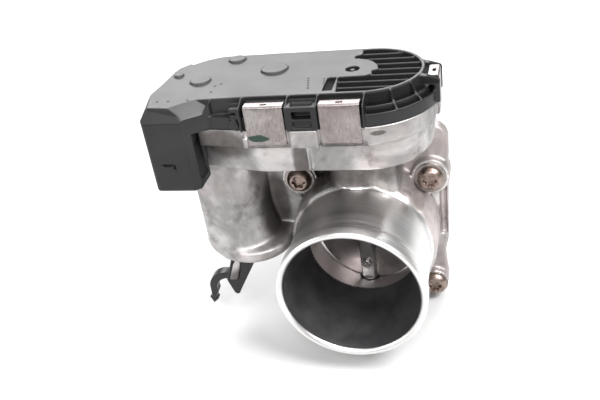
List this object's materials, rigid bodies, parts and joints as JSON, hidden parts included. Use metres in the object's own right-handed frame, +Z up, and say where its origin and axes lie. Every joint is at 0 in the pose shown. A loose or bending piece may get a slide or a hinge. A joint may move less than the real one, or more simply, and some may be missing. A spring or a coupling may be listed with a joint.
{
  "type": "throttle body",
  "caption": "Electronic throttle body with a cast housing, round hose spigot, bolted flange, butterfly plate on a shaft, motor and gears under a clipped plastic cover with a connector.",
  "frame": {"origin": "on the air-bore axis, in the machined manifold face", "axes": "+Y along the bore, out of the manifold face; +Z up along the throttle shaft towards the gear cover; +X to the right, away from the motor"},
  "size_m": [0.1415, 0.092, 0.1453],
  "materials": {
    "cast_aluminium": "matte",
    "cover_plastic": "satin",
    "black_plastic": "satin",
    "seal_rubber": "matte",
    "clip_steel": "satin",
    "screw_steel": "satin",
    "shaft_steel": "satin",
    "bearing_steel": "satin",
    "spring_steel": "satin",
    "can_steel": "satin",
    "plate_aluminium": "satin",
    "terminal_brass": "satin",
    "board_plastic": "matte",
    "gear_plastic": "matte",
    "magnet_ferrite": "matte",
    "core_iron": "matte"
  },
  "bodies": {
    "housing": {"brush_carrier": "board_plastic", "connector_terminals": "terminal_brass", "cover_clips": "clip_steel", "cover_seal": "seal_rubber", "flange_screws": "screw_steel", "flange_washers": "clip_steel", "gear_cover": "cover_plastic", "harness_clip": "black_plastic", "idler_pin": "shaft_steel", "lower_bearing": "bearing_steel", "lower_shaft_seal": "seal_rubber", "manifold_seal": "seal_rubber", "motor_brushes": "magnet_ferrite", "motor_can": "can_steel", "motor_end_plate": "board_plastic", "motor_lower_bush": "terminal_brass", "motor_magnets": "magnet_ferrite", "motor_screws": "screw_steel", "motor_terminals": "terminal_brass", "motor_upper_bush": "terminal_brass", "motor_wave_spring": "spring_steel", "return_spring": "spring_steel", "sensor_board": "board_plastic", "shaft_end_plug": "screw_steel", "throttle_housing": "cast_aluminium", "upper_bearing": "bearing_steel", "upper_shaft_seal": "seal_rubber"},
    "throttle": {"throttle_shaft": "shaft_steel", "throttle_plate": "plate_aluminium", "plate_screws": "screw_steel", "spring_lever": "screw_steel", "sector_gear": "gear_plastic", "sensor_magnet": "magnet_ferrite"},
    "idler": {"idler_gear": "gear_plastic"},
    "rotor": {"motor_shaft": "shaft_steel", "motor_armature": "core_iron", "motor_commutator": "terminal_brass", "motor_pinion": "terminal_brass"}
  },
  "joints": [
    {"name": "throttle_turn", "type": "hinge", "parent": "housing", "child": "throttle", "pos_m": [0, -0.0195, 0], "axis": [0, 0, -1], "range_deg": [-8, 74], "stiffness_Nm_per_rad": 0.3},
    {"name": "idler_turn", "type": "hinge", "parent": "housing", "child": "idler", "pos_m": [-0.03447, -0.01877, 0], "axis": [0, 0, -1], "range_deg": [-198, 22]},
    {"name": "motor_turn", "type": "hinge", "parent": "housing", "child": "rotor", "pos_m": [-0.0715, -0.021, 0], "axis": [0, 0, -1], "range_deg": [-51, 467]}
  ],
  "couplings": [
    {"joint": "idler_turn", "follows": "throttle_turn", "ratio": -2.6667},
    {"joint": "motor_turn", "follows": "throttle_turn", "ratio": 6.303}
  ]
}
